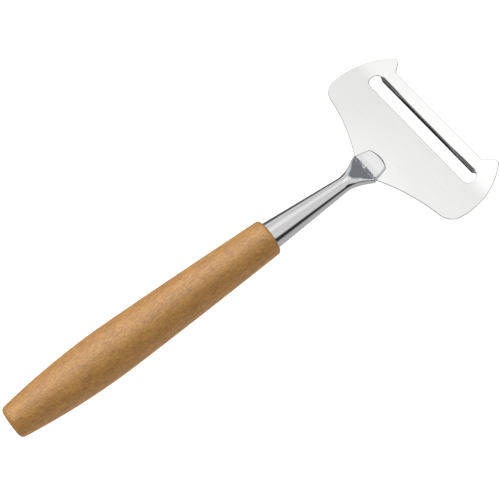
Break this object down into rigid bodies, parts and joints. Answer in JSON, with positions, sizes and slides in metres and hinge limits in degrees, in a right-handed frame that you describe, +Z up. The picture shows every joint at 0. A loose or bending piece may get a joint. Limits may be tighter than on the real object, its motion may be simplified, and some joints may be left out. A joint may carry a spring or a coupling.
{
  "type": "cheese slicer",
  "caption": "Hand-held cheese slicer: a slotted steel plate with a down-turned cutting lip, clasped by a tapered steel shank that is set in a slim turned wooden handle.",
  "frame": {"origin": "under the middle of the whole slicer, at the height of the handle's lowest line", "axes": "+X along the handle from its butt end to the plate, +Y to the left, +Z up, square to the plate"},
  "size_m": [0.2408, 0.0938, 0.0233],
  "materials": {
    "beech": "satin",
    "adhesive": "matte",
    "polished_steel": "polished",
    "weld_steel": "satin",
    "plate_steel": "polished"
  },
  "bodies": {
    "root": {"wood_handle": "beech", "adhesive_sleeve": "adhesive", "steel_shank": "polished_steel", "spot_welds": "weld_steel", "slicer_plate": "plate_steel"}
  },
  "joints": []
}
